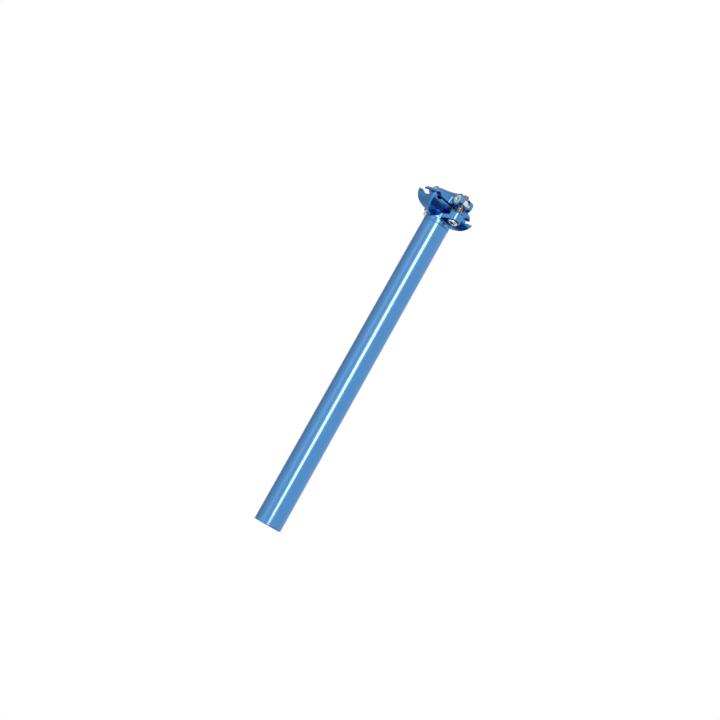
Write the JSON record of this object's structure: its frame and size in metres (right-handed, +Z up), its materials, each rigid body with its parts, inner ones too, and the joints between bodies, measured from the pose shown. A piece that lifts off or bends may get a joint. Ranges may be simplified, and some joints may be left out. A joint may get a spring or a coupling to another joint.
{
  "type": "bicycle seatpost",
  "caption": "Straight round bicycle seatpost with a saddle clamp that tilts in the head and is set by a bolt in front and a bolt behind.",
  "frame": {"origin": "middle of the tube's lower end", "axes": "+Z up along the tube, X across the saddle's rails, the front of the bicycle towards -Y"},
  "size_m": [0.0582, 0.055, 0.3676],
  "materials": {
    "blue_anodised": "gloss blue anodised",
    "nickel_nut": "turned, warm nickel plate",
    "steel_bolt": "bright stainless"
  },
  "bodies": {
    "post": {"post_tube": "blue_anodised", "post_head": "blue_anodised"},
    "saddle_clamp": {"lower_cradle": "blue_anodised", "upper_clamp": "blue_anodised"},
    "front_bolt_set": {"front_bolt": "steel_bolt", "front_washer": "steel_bolt"},
    "rear_bolt_set": {"rear_bolt": "steel_bolt", "rear_washer": "steel_bolt"},
    "front_nut": {"front_barrel_nut": "nickel_nut"},
    "rear_nut": {"rear_barrel_nut": "nickel_nut"}
  },
  "joints": [
    {"name": "clamp_tilt", "type": "hinge", "parent": "post", "child": "saddle_clamp", "pos_m": [0, 0, 0.35], "axis": [1, 0, 0], "range_deg": [-10, 10]},
    {"name": "front_bolt_swing", "type": "hinge", "parent": "post", "child": "front_bolt_set", "pos_m": [0, -0.02221, 0.33186], "axis": [1, 0, 0], "range_deg": [-1.87, 1.87]},
    {"name": "front_nut_turn", "type": "hinge", "parent": "saddle_clamp", "child": "front_nut", "pos_m": [0, -0.02221, 0.3539], "axis": [1, 0, 0], "range_deg": [-8.33, 8.33]},
    {"name": "rear_bolt_swing", "type": "hinge", "parent": "post", "child": "rear_bolt_set", "pos_m": [0, 0.01954, 0.33672], "axis": [1, 0, 0], "range_deg": [-4.69, 4.69]},
    {"name": "rear_nut_turn", "type": "hinge", "parent": "saddle_clamp", "child": "rear_nut", "pos_m": [0, 0.01954, 0.36126], "axis": [1, 0, 0], "range_deg": [-5.51, 5.51]}
  ],
  "couplings": [
    {"joint": "front_bolt_swing", "follows": "clamp_tilt", "ratio": 0.177},
    {"joint": "front_nut_turn", "follows": "clamp_tilt", "ratio": -0.823},
    {"joint": "rear_bolt_swing", "follows": "clamp_tilt", "ratio": 0.4589},
    {"joint": "rear_nut_turn", "follows": "clamp_tilt", "ratio": -0.5411}
  ]
}
